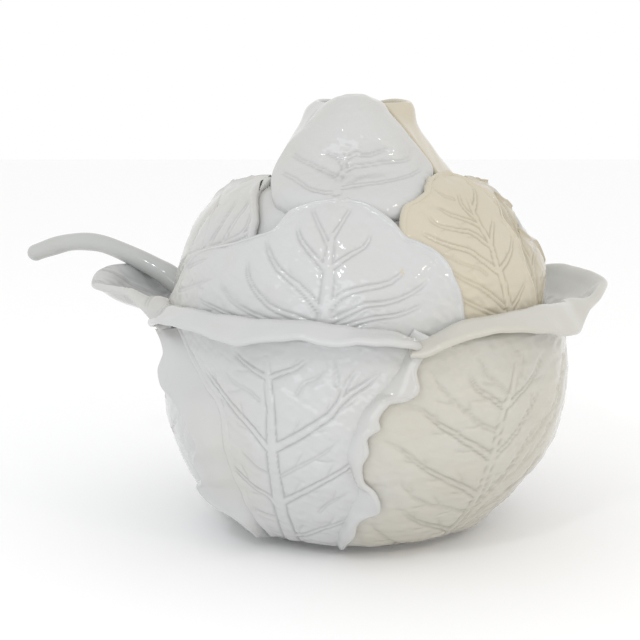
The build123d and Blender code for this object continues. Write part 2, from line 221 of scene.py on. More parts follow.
SEARCH = 9         # mm beyond a vein's own box that are looked at
FAR = 30.0         # mm to the nearest vein where there is none
NO_BAND = 0.35     # half width up to which a vein is a bare groove
PILLOW = 1.6       # mm beside a vein over which its panel swells
RELIEF_FROM, RELIEF_FULL = 0.3, 5.0    # mm from the edge where relief begins and where it is full
BEAD_IN, BEAD_HALF = 1.9, 1.0          # mm from the edge to its raised line, and the line's half width


def vein_relief(where, veins):
    """Height of veins between their grooves, depth of the grooves and distance to the nearest, at points in space.

    veins are (points, half width at the start, half width at the end). A vein is a low rounded band between two
    narrow grooves; where it is no wider than NO_BAND only one groove is left.
    """
    flat = where.reshape(-1, 3)
    band, groove, near = np.zeros(len(flat)), np.zeros(len(flat)), np.full(len(flat), FAR)
    for line, thick, thin in veins:
        low, high = line.min(axis=0) - SEARCH, line.max(axis=0) + SEARCH
        inside = np.nonzero(((flat > low) & (flat < high)).all(axis=1))[0]
        if not len(inside):
            continue
        start, run = line[:-1], np.diff(line, axis=0)
        length2 = np.maximum((run**2).sum(axis=1), 1e-9)
        away = flat[inside][:, None, :] - start
        share = np.clip((away * run).sum(axis=2) / length2, 0, 1)
        gap = np.linalg.norm(away - share[..., None] * run, axis=2)
        best = gap.argmin(axis=1)
        rows = np.arange(len(inside))
        gap = gap[rows, best]
        along = (best + share[rows, best]) / len(run)
        width = thick + (thin - thick) * along
        wide = np.maximum(width, 0.55)
        full = np.clip((width - NO_BAND) / 0.6, 0, 1)
        bump = full * (0.35 + 0.2 * width) * np.sqrt(np.clip(1 - (gap / wide) ** 2, 0, 1))
        cut_width = 0.45 + 0.09 * width
        place = np.where(full > 0, width + 0.3, 0.0)    # a groove on either side, or one in the middle
        cut = (0.2 + 0.7 * np.minimum(width, 1)) * np.exp(-(((gap - place) / cut_width) ** 2))
        cut *= 1 - eased(0.86, 1.0, along)    # grooves run out before the vein's end
        band[inside] = np.maximum(band[inside], bump)
        groove[inside] = np.maximum(groove[inside], cut)
        near[inside] = np.minimum(near[inside], np.maximum(gap - width, 0))
    groove *= 1 - np.clip(band * 3.0, 0, 1)    # no groove is cut across another vein's band
    shape = where.shape[:-1]
    return band.reshape(shape), groove.reshape(shape), near.reshape(shape)


def quilted(where, veins, rib, puff, edge):
    """Height of a veined face, and how deep each place lies in a groove."""
    band, groove, near = vein_relief(where, veins)
    panel = puff * (1 - np.exp(-near / PILLOW)) * (0.85 + 0.15 * wobble(where, 11.0, 7, 2))
    panel = panel + 0.2 * wobble(where, 6.5, 12, 2)
    fade = eased(RELIEF_FROM, RELIEF_FULL, edge)
    return (rib * (band - 0.75 * groove) + panel) * fade, np.clip(groove, 0, 1) * fade


def twigs(line, reach, every, seed, stretch):
    """Short side veins that leave a vein alternately left and right. stretch turns its places into mm."""
    dice = np.random.default_rng(seed)
    run = smooth(line, np.linspace(0, 1, 60)) * stretch
    length = np.linalg.norm(np.diff(run, axis=0), axis=1).sum()
    found = []
    for k in range(1, int(length / every)):
        share = min(0.97, k * every / length + dice.uniform(-0.25, 0.25) * every / length)
        i = int(share * 58)
        ahead = run[i + 1] - run[i]
        ahead /= np.linalg.norm(ahead) + 1e-9
        side = np.array([-ahead[1], ahead[0]]) * (1 if k % 2 else -1)
        size = reach * dice.uniform(0.6, 1.15) * (1 - 0.35 * share)
        mid = run[i] + (side * 0.62 + ahead * 0.55) * size * 0.5
        end = run[i] + (side * 0.85 + ahead * 1.25) * size * 0.9
        found.append(np.array([run[i], mid, end]) / stretch)
    return found


CREASE = (0.5, 0.3)    # half widths, start and end, of a groove drawn from listed points
TWIG = (0.3, 0.1)      # and of the small side grooves


def vein_tree(midrib, sides, place, seed=1, width=(3.0, 1.4), side_width=(1.5, 0.6), reach=9, every=11.0):
    """All the veins of a leaf as lines in space: the midrib, its side veins and their creases.

    A side is a line, or a line with its own half widths.
    """
    stretch = np.array((2.0, 1.0))    # mm round the pot for a degree, and mm up for a mm
    shares = np.linspace(0, 1, 9)
    veins = [(place(smooth(midrib, np.linspace(0, 1, 18))), *width)]
    for k, side in enumerate(sides):
        line, widths = side if isinstance(side, tuple) else (side, side_width)
        veins.append((place(smooth(line, shares)), *widths))
        for twig in twigs(line, reach, every, seed * 31 + k, stretch):
            veins.append((place(smooth(twig, np.linspace(0, 1, 5))), *TWIG))
    return veins


# ---------------------------------------------------------------- leaves on the pot

def pot_leaf(name, surface, left, spine, right, veins, across, along, thickness=5.0, lift=0.0,
             rise=(0, 0, 0), rise_width=9.0, ruffle=0.0, ruffle_wave=16.0, rib=1.0, puff=0.8, seed=1, bead=0.0):
    """A leaf lying on a turned surface, with raised veins and quilted panels between them.

    Its face is lift outside the surface. rise lifts the left, right and tip edges further; ruffle waves them in and
    out; bead raises a thin line along the edge.
    """
    places = leaf_rows(left, spine, right, across, along)
    turn, height = places[..., 0], places[..., 1]
    ground = surface.at(turn, height)
    gaps = edge_gaps(ground)
    away = np.full(turn.shape, lift - thickness / 2 - puff * 0.8)
    for gap, amount in zip((gaps[0], gaps[1], gaps[3]), rise):
        away += amount * (1 - eased(0, rise_width, gap)) ** 1.4
    free = np.minimum(np.minimum(gaps[0], gaps[1]), gaps[3])
    away += ruffle * (1 - eased(0, rise_width * 1.6, free)) * wobble(ground, ruffle_wave, seed, 1)
    away += 0.4 * wobble(ground, 26.0, seed + 5, 3)
    middle = surface.at(turn, height, away)
    edge = np.minimum(free, gaps[2])
    return thickened(name, middle, edge, thickness, ground, veins, rib, puff, bead)


def thickened(name, middle, edge, thickness, where, veins, rib, puff, bead=0.0):
    """A closed sheet around a middle surface, round at its edges and veined on its face.

    bead is the height of the thin raised line just inside the edge.
    """
    normal = facing(middle)
    half = rounded(edge, thickness)
    relief, hollow = np.zeros(half.shape), np.zeros(half.shape)
    if veins:
        relief, hollow = quilted(where, veins, rib, puff, edge)
    relief = relief + bead * np.exp(-(((edge - BEAD_IN) / BEAD_HALF) ** 2))
    return sheet_object(name, middle + normal * (half + relief)[..., None], middle - normal * half[..., None],
                        hollow)


def free_sheet(name, rows, thickness=4.0, across=40, along=160, veins=None, rib=1.0, puff=0.5, seed=1,
               ruffle=0.0, ruffle_wave=18.0, ruffle_edges="lrft", lumps=0.25):
    """A free-standing leaf edge or petal: a smooth sheet through rows of control points."""
    middle = net(rows, across, along)
    gaps = edge_gaps(middle)
    free = np.minimum.reduce([gap for gap, key in zip(gaps, "lrft") if key in ruffle_edges])
    push = ruffle * (1 - eased(0, 10.0, free)) * wobble(middle, ruffle_wave, seed, 1)
    push = push + lumps * wobble(middle, 24.0, seed + 9, 2)
    middle = middle + facing(middle) * push[..., None]
    lines = []
    for line, thick, thin in veins or ():
        line = smooth(line, np.linspace(0, 1, 9))
        j = np.clip(line[:, 1], 0, 1) * along
        i = np.clip((line[:, 0] + 1) / 2, 0, 1) * across
        lines.append((middle[np.round(j).astype(int), np.round(i).astype(int)], thick, thin))
    return thickened(name, middle, np.minimum.reduce(gaps), thickness, middle, lines, rib, puff)


def spun(name, outline, steps=240):
    """A closed turned shape from (radius, height) points that start and end on the axis."""
    bm = bmesh.new()
    verts = [bm.verts.new((r * MM, 0, z * MM)) for r, z in outline]
    edges = [bm.edges.new(pair) for pair in zip(verts, verts[1:])]
    bmesh.ops.spin(bm, geom=verts + edges, cent=(0, 0, 0), axis=(0, 0, 1), angle=2 * pi, steps=steps,
                   use_merge=True)
    bmesh.ops.remove_doubles(bm, verts=bm.verts, dist=TOUCHING)
    bmesh.ops.recalc_face_normals(bm, faces=bm.faces)
    bm.verts.layers.float.new("hollow")
    return finished(name, bm)


# ---------------------------------------------------------------- sizes of the pot

WALL = Turned([(0, 64), (4, 74), (9, 87), (15.3, 94), (22, 99.3), (28.6, 103.9), (35.1, 107.4), (41.6, 110.2),
               (48, 113.1), (54.4, 115.3), (60.7, 117.5), (67, 119.2), (80, 120.3), (97.5, 120.3), (118, 119.5),
               (128, 120), (137, 122)],
              [(0, 62), (4, 70), (7.8, 78.3), (14.6, 84.9), (21.4, 91.4), (28.1, 97.3), (34.8, 102.6), (41.4, 108),
               (48, 112.2), (54.4, 115.5), (60.7, 117.5), (67, 119), (80, 121.5), (91.6, 122.5), (103, 122),
               (118, 120.5), (128, 120), (137, 122)])
DOME = Turned([(122, 111), (132, 113), (145, 112), (159, 109), (173, 103.6), (180, 100.2), (187, 95.5), (194, 89),
               (201, 82.5), (206, 75), (210, 66), (213.5, 57), (217, 48), (223, 44), (240, 40)],
              [(122, 109), (132, 110), (145, 109), (159, 106.5), (166, 103.5), (173, 99), (180, 94.5), (187, 89.5),
               (194, 84), (201, 77.5), (206, 70), (210, 62), (213.5, 54), (217, 48), (223, 44), (240, 40)])
WALL_INSET, DOME_INSET = 4.0, 4.5    # how far the plain cores lie below the leaves
OUTER_SIDE = 0.8                     # how near its line a core's corner must be to count as the outer side
RIM_THICK, HEM_THICK, PETAL_THICK = 4.4, 3.6, 4.2
bowl_pieces, lid_pieces, ladle_pieces = [], [], []


def on_wall(points):
    return WALL.at(points[:, 0], points[:, 1])


def on_dome(points):
    return DOME.at(points[:, 0], points[:, 1])


def fit_core(core, surface, below, low, high):
    """Move a spun core's outer side out or in to follow the fuller and the flatter side of the pot."""
    for vert in core.data.vertices:
        x, y, z = (c / MM for c in vert.co)
        r = (x * x + y * y) ** 0.5
        if low < z < high and abs(r + below - surface.radius(0.0, z)) < OUTER_SIDE:
            grown = surface.radius(np.degrees(np.arctan2(x, -y)), z) - below
            vert.co.x *= grown / r
            vert.co.y *= grown / r


# ---------------------------------------------------------------- bowl

# the plain body that the leaves lie on, with its foot ring, its ledge for the lid and its inside
floor_line = [(0, 12), (30, 12), (48, 13)]
inside = [(74, 24), (90, 38), (101, 55), (107, 75), (109, 92), (108.5, 103), (104.5, 109)]
outline = ([(0, 4), (53, 4), (54, 0.8), (55, 0), (61, 0), (62.5, 0.8)]
           + [(WALL.radius(0.0, z) - WALL_INSET, z) for z in np.linspace(3, 116, 60)]
           + [(116.5, 122), (115.5, 126), (113.5, 127), (112.2, 126), (112, 121.3), (110.5, 121), (103, 121),
              (102, 120), (102, 115)]
           + [(r, z) for r, z in smooth(inside[::-1], np.linspace(0, 1, 40))]
           + floor_line[::-1])
bowl_core = spun("bowl_core", outline, 300)
fit_core(bowl_core, WALL, WALL_INSET, 2.0, 117.0)
bowl_pieces.append(bowl_core)

front_veins = vein_tree(
    [(-31, 3), (-28.3, 17.1), (-27, 33.5), (-26, 48.8), (-25.6, 61), (-25.5, 71.4), (-25.4, 82), (-25.3, 94.3),
     (-26.2, 104.8), (-26.6, 111.5), (-27, 119)],
    [([(-26.7, 70), (-31.5, 80.3), (-36.3, 88.8), (-39, 93.4), (-42.4, 100.1), (-47, 107)], (1.7, 0.8)),
     ([(-26.4, 108.4), (-29.9, 111.4), (-33.4, 114.8), (-37, 120)], (1.2, 0.7)),
     ([(-28.9, 96.2), (-31.9, 100.3), (-35.9, 103), (-40, 109)], CREASE),
     ([(-25.3, 70), (-19.7, 76.6), (-14.9, 83.4), (-10.3, 90.3), (-6.1, 101.1), (-1.9, 107), (2, 113)], (2.2, 1.0)),
     ([(-25.9, 108.6), (-22.4, 111.8), (-19.9, 113.7), (-16, 119.4)], (1.2, 0.7)),
     ([(-18.5, 101.4), (-16.4, 107.4), (-13.3, 110.4), (-11, 116)], CREASE),
     ([(-24, 54.5), (-22.5, 56.5), (-17, 63), (-12, 69.5), (-8, 77)], (0.6, 0.3)),
     ([(-26.2, 36), (-21.1, 42.4), (-14.2, 50.9), (-5.6, 62.7), (-3, 68)], (1.7, 0.7)),
     ([(-14.6, 33), (-12, 38.2), (-5.9, 46.9)], CREASE),
     ([(-28.6, 10.5), (-20.7, 16.2), (-13.8, 21.5), (-5.8, 29.1)], (1.4, 0.7)),
     ([(-27.8, 34.5), (-30.3, 41), (-33, 43.3), (-36.4, 49), (-41, 57)], (1.5, 0.7)),
     ([(-27, 55), (-30.3, 57.2), (-31.7, 59.2), (-35, 66)], CREASE),
     ([(-28.7, 25), (-33.6, 27.1), (-37.2, 28.1)], CREASE),
     ([(-10.3, 90.3), (-8.3, 96.8), (-5.9, 107.4), (-3.4, 116)], (0.9, 0.6)),
     ([(-8.3, 107.2), (-8.4, 114), (-9.4, 120.3)], CREASE)],
    on_wall, seed=3, width=(4.4, 1.5))
bowl_pieces.append(pot_leaf(
    "front_leaf", WALL,
    [(-44, 2), (-39.5, 11.1), (-39.8, 25.1), (-40.1, 42.3), (-40.8, 58.1), (-40.8, 73.8), (-43.3, 91.3),
     (-49.2, 101.4), (-54.5, 112.3), (-57, 116.6), (-60, 123), (-66, 130)],
    [(-30, 2), (-28, 45), (-24, 85), (-26, 131)],
    [(-5, 2), (-2, 28), (0, 50), (0, 65), (1, 80), (3, 92), (7, 103), (11, 115), (12.5, 128)],
    front_veins, across=225, along=212, lift=0.3, rib=0.8, puff=0.75, rise=(2.4, -4.0, 0), rise_width=6.0,
    ruffle=0.5, seed=4))

right_veins = vein_tree(
    [(36, 2), (35, 8.8), (35.6, 20.4), (35.1, 36.6), (34.1, 52.3), (35, 66.9), (35.7, 82.6), (37.3, 92),
     (39.5, 98.4), (40.7, 106.7), (41.8, 118)],
    [([(35.1, 37.2), (26.4, 47.3), (19.8, 54.1), (14.5, 60.5), (10.6, 67.4), (6.7, 73.9), (3.9, 77)], (1.8, 0.3)),
     ([(34.1, 62.2), (28.5, 70.1), (24.7, 74.5), (21.2, 80.2), (16.9, 85.4), (14.5, 90.5), (11.7, 95), (9, 96.8)],
      (1.9, 0.4)),
     ([(34.2, 77.6), (28.7, 83.4), (25.1, 90.3), (21.8, 95.7), (19.7, 100.3), (16.6, 108), (15.4, 112.8)],
      (0.6, 0.3)),
     ([(36.6, 89.7), (32.5, 96.1), (29.4, 100), (27.4, 103.6), (25.8, 110.7)], (1.2, 0.5)),
     ([(33.9, 26.4), (26.9, 31.3), (16.3, 38.5), (12.2, 43.4), (7.9, 52.4)], CREASE),
     ([(36, 9.5), (32.6, 13), (21.6, 20.2), (15.5, 25.7), (10.3, 33.9)], (1.4, 0.6)),
     ([(13.2, 5.7), (5.7, 14.6), (1.3, 23.5)], CREASE),
     ([(35.5, 62.3), (37, 65.6), (41.7, 73.1), (47, 86.5), (51, 96)], (1.3, 0.6)),
     ([(37, 30), (39.2, 36.8), (42.1, 50.3), (46.5, 62.4), (52, 76)], (1.3, 0.6)),
     ([(37.5, 90.3), (39.4, 93), (44.8, 99), (48.3, 103.8), (53, 114)], (1.1, 0.6)),
     ([(40.2, 97.7), (42.9, 106.1), (44.6, 116.8)], CREASE),
     ([(38.5, 96), (34.5, 104), (31, 110), (29, 118)], CREASE),
     ([(36, 14), (45, 24), (55, 40), (62, 56)], (1.2, 0.6)), ([(37, 5), (52, 14), (66, 30), (76, 48)], (1.2, 0.6)),
     ([(44, 44), (56, 62), (64, 82), (68, 100)], CREASE), ([(51, 66), (62, 88), (70, 108)], CREASE)],
    on_wall, seed=8, width=(2.2, 1.6))
bowl_pieces.append(pot_leaf(
    "right_leaf", WALL,
    [(-14, 2), (-9, 25), (-6, 45), (-6, 70), (-3, 88), (3, 103), (7, 118), (11, 128)],
    [(35, 2), (38, 45), (45, 90), (50, 130)],
    [(68, 2), (82, 25), (94, 60), (98, 95), (100, 130)],
    right_veins, across=230, along=196, lift=0.0, rib=0.9, puff=1.0, rise=(-1.5, -1.0, 0), rise_width=8.0, seed=11))

back_veins = vein_tree(
    [(140, 3), (139, 30), (137, 60), (136, 90), (137, 118)],
    [[(138, 50), (128, 66), (118, 82), (108, 104)], [(138, 44), (148, 60), (158, 76), (168, 98)],
     [(136.5, 82), (128, 96), (121, 110), (116, 120)], [(136.5, 78), (146, 92), (154, 106), (160, 119)],
     [(139, 22), (126, 36), (112, 52), (104, 68)], [(139.5, 18), (152, 32), (164, 48), (173, 66)]],
    on_wall, seed=15, width=(4.0, 1.6))
bowl_pieces.append(pot_leaf(
    "back_leaf", WALL,
    [(104, 2), (100, 25), (97, 45), (96, 70), (94, 100), (92, 130)],
    [(139, 2), (138, 45), (137, 90), (137, 131)],
    [(172, 2), (178, 28), (181, 50), (182, 80), (184, 105), (187, 130)],
    back_veins, across=180, along=150, lift=0.3, rise=(2.0, -2.5, 0), ruffle=0.5, seed=16))

left_veins = vein_tree(
    [(232, 3), (234, 30), (238, 60), (243, 90), (248, 118)],
    [[(236, 44), (224, 60), (212, 78), (202, 98)], [(236, 42), (250, 56), (264, 72), (278, 92)],
     [(241, 76), (230, 92), (222, 106), (216, 119)], [(242, 80), (254, 94), (264, 106), (272, 118)],
     [(233, 20), (218, 34), (204, 50), (196, 68)], [(233.5, 22), (252, 34), (270, 48), (286, 62), (298, 76)],
     [(264, 72), (274, 76), (284, 90), (292, 104)]],
    on_wall, seed=21, width=(3.6, 1.5))
bowl_pieces.append(pot_leaf(
    "left_leaf", WALL,
    [(168, 2), (174, 28), (178, 50), (178, 80), (180, 105), (183, 130)],
    [(234, 2), (236, 45), (242, 90), (246, 131)],
    [(312, 2), (316, 25), (316, 50), (314, 75), (308, 95), (302, 115), (298, 130)],
    left_veins, across=210, along=160, lift=-0.3, rise=(-2.0, -2.0, 0), seed=22))


def hem_rows(fold, edge, high):
    """Rows of a turned-back leaf edge: it leaves the wall softly at its fold and stands high at its free edge."""
    shares = np.linspace(0, 1, 60)
    fold, edge = smooth(fold, shares), smooth(edge, shares)
    rows = []
    for share, (t0, z0), (t1, z1) in zip(shares, fold, edge):
        strength = 0.35 + 0.65 * eased(0, 0.12, share)
        aways = (-4.6, -0.4 + 0.10 * high * strength, 0.55 * high * strength, (high - 1.2) * strength,
                 high * strength)
        rows.append(np.array([WALL.at(t0 + (t1 - t0) * c, z0 + (z1 - z0) * c, a)
                              for c, a in zip((-0.12, 0.25, 0.55, 0.82, 1.0), aways)]))
    return rows


# where the turned-back edges of the right and left leaves fold, and where they end
right_hem_fold = [(-12, 3), (-10.5, 12), (-8.8, 20.9), (-6.5, 29.3), (-5.5, 38.9), (-3.1, 51.4), (-4.3, 59.9),
                  (-5.7, 72.5), (-4.6, 79.7), (-2.7, 89.9), (2.1, 103.6), (7.5, 118), (9.5, 127), (12, 134)]
right_hem_edge = [(-9, 4), (-7.4, 12.0), (-4.2, 20.7), (-3.2, 30.0), (-1.4, 33.5), (2.5, 37.1), (3.0, 42.6),
                  (1.0, 50.4), (-1.2, 54.1), (-2.2, 61.3), (-1.9, 67.0), (-0.7, 71.5), (-0.6, 81.4),
                  (2.3, 85.7), (1.8, 89.4), (3.7, 96.6), (5.2, 99.2), (9.6, 100.4), (11.6, 105.0),
                  (11.2, 109.5), (10.8, 114.8), (11.8, 119.3), (13.6, 122.9), (17, 126), (20, 128.5)]
bowl_pieces.append(free_sheet("right_leaf_hem", hem_rows(right_hem_fold, right_hem_edge, 4.3),
                              thickness=HEM_THICK, across=44, along=380, seed=31, ruffle=0.5, ruffle_wave=14,
                              ruffle_edges="r"))
left_hem_fold = [(-44, 4), (-40, 16), (-38, 28), (-38, 42), (-38.5, 58), (-38.8, 74), (-41.3, 91.3), (-47, 101.4),
                 (-52.5, 112.3), (-56, 119), (-62, 126)]
left_hem_edge = [(-48, 6), (-42.5, 16), (-44.7, 24.3), (-49.8, 28), (-55.8, 34.1), (-56.7, 38.8), (-51.7, 45.7),
                 (-52.8, 55.1), (-49, 65.9), (-52.6, 77.6), (-57.5, 85.8), (-66.8, 92.8), (-68.9, 100.7),
                 (-66.8, 106.2), (-65.2, 112), (-67.3, 116.8), (-73, 122)]
left_rows = [row[::-1] for row in hem_rows(left_hem_fold, left_hem_edge, 6.2)]
bowl_pieces.append(free_sheet("left_leaf_hem", left_rows, thickness=HEM_THICK, across=40, along=320, seed=33,
                              ruffle=0.4, ruffle_wave=14, ruffle_edges="l"))


def rim_rows(table):
    """Rows across a rim leaf from (angle, (radius, height) points from inside the mouth to the free edge)."""
    return [spot(turn, *np.array(points, float).T) for turn, points in table]


def roll(crest_z, edge_r, edge_z, crest_r=120.5):
    """Points of a rolled rim: inside the mouth, neck, crest, face and hanging edge."""
    return [(110.5, 119), (112.6, 129), (crest_r - 3.4, crest_z - 2.4), (crest_r + 1.2, crest_z - 0.2),
            (crest_r + 0.52 * (edge_r - crest_r), crest_z + 0.40 * (edge_z - crest_z)), (edge_r, edge_z)]


def flare(edge_r, edge_z, dip=0.0, drop=0.0):
    """Points of a rim leaf that reaches outwards as a gutter; drop turns its very edge down."""
    run, rise = edge_r - 113.5, edge_z + drop - 127.0
    return [(110.5, 118), (113.2, 126.0), (113.5 + 0.36 * run, 127.5 + 0.22 * rise - dip),
            (113.5 + 0.70 * run, 127.3 + 0.60 * rise - dip * 0.6), (113.5 + 0.90 * run, 127.2 + 0.92 * rise),
            (edge_r, edge_z)]


ROLLED = dict(thickness=RIM_THICK, ruffle=0.5, ruffle_wave=15, ruffle_edges="rft", lumps=0.45)
front_rim = [(-74.5, roll(132.5, 125, 123, 118.5)), (-71.5, roll(135, 130, 124.5, 119)),
             (-67, roll(136, 132.5, 127.5)), (-60, roll(137.5, 133.5, 130.5)), (-53, roll(138.6, 134, 131.8)),
             (-47, roll(138.3, 134, 131.4)), (-40, roll(138, 134, 129.6)), (-35, roll(138, 134.4, 127.8)),
             (-31, roll(138.2, 134.6, 126.8)), (-26, roll(138.3, 134, 129.2)),
             (-21, roll(138.3, 133.5, 131.4)), (-16, roll(138.4, 133.5, 132.6)),
             (-11, roll(137.4, 134, 131.2)), (-7, roll(136.6, 134, 130.2)), (-3, roll(135.6, 133.6, 132)),
             (2, roll(134.7, 133.6, 130.6)), (6, roll(133.2, 133, 130.2)), (9, roll(131, 131, 129.4)),
             (11.5, roll(128.5, 127, 126, 118.5))]
bowl_pieces.append(free_sheet("front_rim", rim_rows(front_rim), across=64, along=330, seed=41, **ROLLED))
right_rim = [(9, roll(127, 127, 122.5, 118.5)), (12, roll(128, 130, 124, 119)),
             (15, roll(130.5, 133, 127.2, 120)), (19, roll(135, 134, 130.8)), (24, roll(138, 134, 133)),
             (32, roll(139.2, 134, 134.4)), (38, roll(140, 134, 132.6)), (43, roll(140.3, 134, 130.6)),
             (50, roll(140.5, 134.4, 127.4)), (57, roll(139.5, 134.6, 125)), (62, roll(138.8, 133.8, 124.4)),
             (66, roll(138.4, 133, 126.6)), (70, roll(138, 134, 131.6)), (75, roll(137.6, 136.4, 135.6, 121)),
             (80, flare(140.5, 138.6, 0, 1.5)), (85, flare(144.0, 142.2, 0, 0.5)), (90, flare(147, 145)),
             (95, flare(146, 146.6)), (100, flare(143.5, 148)), (106, flare(141.5, 149)),
             (112, flare(139.5, 148.6)), (118, flare(136, 146)), (124, roll(138, 132, 138, 119))]
bowl_pieces.append(free_sheet("right_rim", rim_rows(right_rim), across=64, along=360, seed=43, **ROLLED))
back_rim = [(112, roll(131, 128, 127, 118.5)), (120, roll(136, 132, 129)), (130, roll(138.5, 134, 129)),
            (140, roll(139.5, 135, 131)), (150, roll(139, 134, 128)), (160, roll(138, 135, 129.5)),
            (170, roll(136, 134, 128)), (178, roll(133, 131, 127, 119.5)), (184, roll(130, 127, 126, 118.5))]
bowl_pieces.append(free_sheet("back_rim", rim_rows(back_rim), across=60, along=240, seed=47, **ROLLED))
left_rim = [(176, roll(130, 127, 126, 118.5)), (184, roll(134, 131, 129)), (194, roll(137.5, 134, 131)),
            (206, roll(139, 135, 128)), (218, roll(139, 134, 131)), (230, roll(138.5, 134, 131)),
            (238, roll(138, 133, 135)), (243, roll(138.5, 133, 141, 121)), (247, flare(137, 147)),
            (250, flare(144, 148.4)), (253, flare(151, 149.4, 1)), (256.5, flare(158, 149.8, 2)),
            (260, flare(162.5, 149.4, 2.5)), (264, flare(164.4, 148, 2.5)), (268, flare(164.6, 145.2, 2)),
            (271, flare(163, 143.4, 1)), (274.5, flare(157.5, 143.2, 0)), (278, flare(149.5, 142.6, 0, 1.0)),
            (281.5, flare(141.5, 140.4, -2.5, 2.5)), (284.5, roll(138.2, 135.2, 134.8, 121)),
            (287.5, roll(136.2, 129.6, 128, 119)), (290.5, roll(132.8, 125.4, 121.6, 118)),
            (294, roll(128, 122, 118, 117))]
bowl_pieces.append(free_sheet("left_rim", rim_rows(left_rim), thickness=RIM_THICK, across=72, along=400, seed=49,
                              ruffle=0.35, ruffle_wave=15, ruffle_edges="rft", lumps=0.4,
                              veins=[([(-0.1, 0.60), (0.7, 0.64)], 0.8, 0.5),
                                     ([(-0.1, 0.66), (0.8, 0.71)], 0.8, 0.5),
                                     ([(-0.1, 0.72), (0.75, 0.79)], 0.8, 0.5),
                                     ([(-0.1, 0.78), (0.6, 0.85)], 0.7, 0.5)],
                              puff=0.3))

# ---------------------------------------------------------------- lid

# the plain dome with its locating ring below and the finial's bud on top
finial_core = [(52, 207), (46, 212), (40, 218), (36, 226), (30, 234), (20, 240), (8, 243), (0, 243.5)]
dome_line = [(DOME.radius(0.0, z) - DOME_INSET, z) for z in np.linspace(126, 205, 60)]
under_dome = [(r - 6.5, z - (2.5 if z > 150 else 0)) for r, z in dome_line[::-1]]
outline = ([(0, 237)] + [(r - 5, z - 5) for r, z in finial_core[-2:0:-1]] + under_dome
           + [(96.5, 123), (95.7, 119), (96.2, 113.8), (98, 113.3), (100, 113.8), (100.5, 115), (100.7, 121.4),
              (106.0, 121.4)] + dome_line + finial_core)
lid_core = spun("lid_core", outline, 260)
fit_core(lid_core, DOME, DOME_INSET, 125.0, 206.0)
lid_pieces.append(lid_core)


def lid_leaf(name, left, spine, right, midrib, sides, seed, width=(2.4, 1.1), side_width=(1.2, 0.5), **more):
    """A leaf of the lid, with veins finer than the bowl's and a thin raised line along its edge."""
    veins = vein_tree(midrib, sides, on_dome, seed=seed, width=width, side_width=side_width, reach=6, every=11.0)
    lid_pieces.append(pot_leaf(name, DOME, left, spine, right, veins, seed=seed, rib=0.62, puff=0.6, bead=0.75,
                               **more))


lid_leaf("lid_back_left_leaf",
         [(206, 124), (202, 145), (202, 165), (208, 185), (224, 198), (250, 205)],
         [(256, 124), (255, 160), (257, 190), (260, 206)],
         [(292, 124), (298, 145), (300, 165), (296, 185), (286, 198), (270, 206)],
         [(254, 126), (254, 160), (256, 196)],
         [[(254, 138), (240, 150), (226, 166), (216, 182)], [(254, 146), (268, 158), (280, 170), (288, 182)],
          [(254.5, 162), (244, 174), (236, 190)], [(254.5, 168), (268, 178), (277, 190)]],
         61, lift=-0.5, rise=(1.5, 1.5, 1.0), across=120, along=86)
lid_leaf("lid_left_leaf",
         [(-112, 124), (-116, 150), (-112, 172), (-100, 190), (-86, 202), (-68, 209)],
         [(-78, 124), (-76, 150), (-70, 176), (-56, 204), (-52, 210)],
         [(-38, 124), (-32, 150), (-34, 170), (-38.5, 182), (-39.5, 188), (-43, 194), (-46.5, 199), (-49, 203),
          (-54, 208)],
         [(-82, 140), (-76, 156), (-68.7, 163.7), (-51.2, 173.8), (-39.8, 182), (-33, 187)],
         [[(-51.2, 173.8), (-49.4, 186.5), (-49.1, 198.5)], [(-58.8, 169.9), (-56.3, 183.8), (-56.4, 197.5)],
          [(-44.3, 178.4), (-42.3, 185.5), (-43, 191.8)], [(-70, 163), (-72, 178), (-70, 192)],
          [(-72, 158), (-60, 160), (-48, 162)], [(-78, 150), (-84, 164), (-86, 178)]],
         63, lift=0.6, rise=(1.0, 1.6, 1.0), across=140, along=116)
lid_leaf("lid_back_leaf",
         [(118, 124), (112, 148), (112, 170), (122, 188), (140, 200), (156, 205)],
         [(158, 124), (158, 160), (159, 190), (160, 206)],
         [(200, 124), (206, 146), (206, 168), (198, 188), (184, 200), (164, 206)],
         [(158, 126), (158, 160), (159, 197)],
         [[(158, 138), (146, 150), (134, 166), (126, 180)], [(158, 142), (172, 154), (184, 168), (192, 182)],
          [(158.5, 162), (148, 174), (142, 188)], [(158.5, 166), (170, 178), (176, 190)]],
         65, lift=1.5, rise=(2.5, 2.5, 2.0), across=130, along=108)
lid_leaf("lid_back_right_leaf",
         [(70, 124), (66, 146), (68, 168), (76, 186), (88, 199), (98, 205)],
         [(98, 124), (98, 160), (99, 190), (100, 206)],
         [(130, 124), (134, 146), (132, 168), (124, 186), (112, 199), (102, 206)],
         [(98, 126), (98, 160), (99, 196)],
         [[(98, 138), (88, 150), (80, 166), (76, 180)], [(98, 142), (110, 154), (120, 168), (124, 182)],
          [(98.5, 162), (92, 174), (88, 188)], [(98.5, 166), (106, 178), (110, 190)]],
         67, lift=-1.0, rise=(1.0, 1.0, 1.0), across=110, along=90)
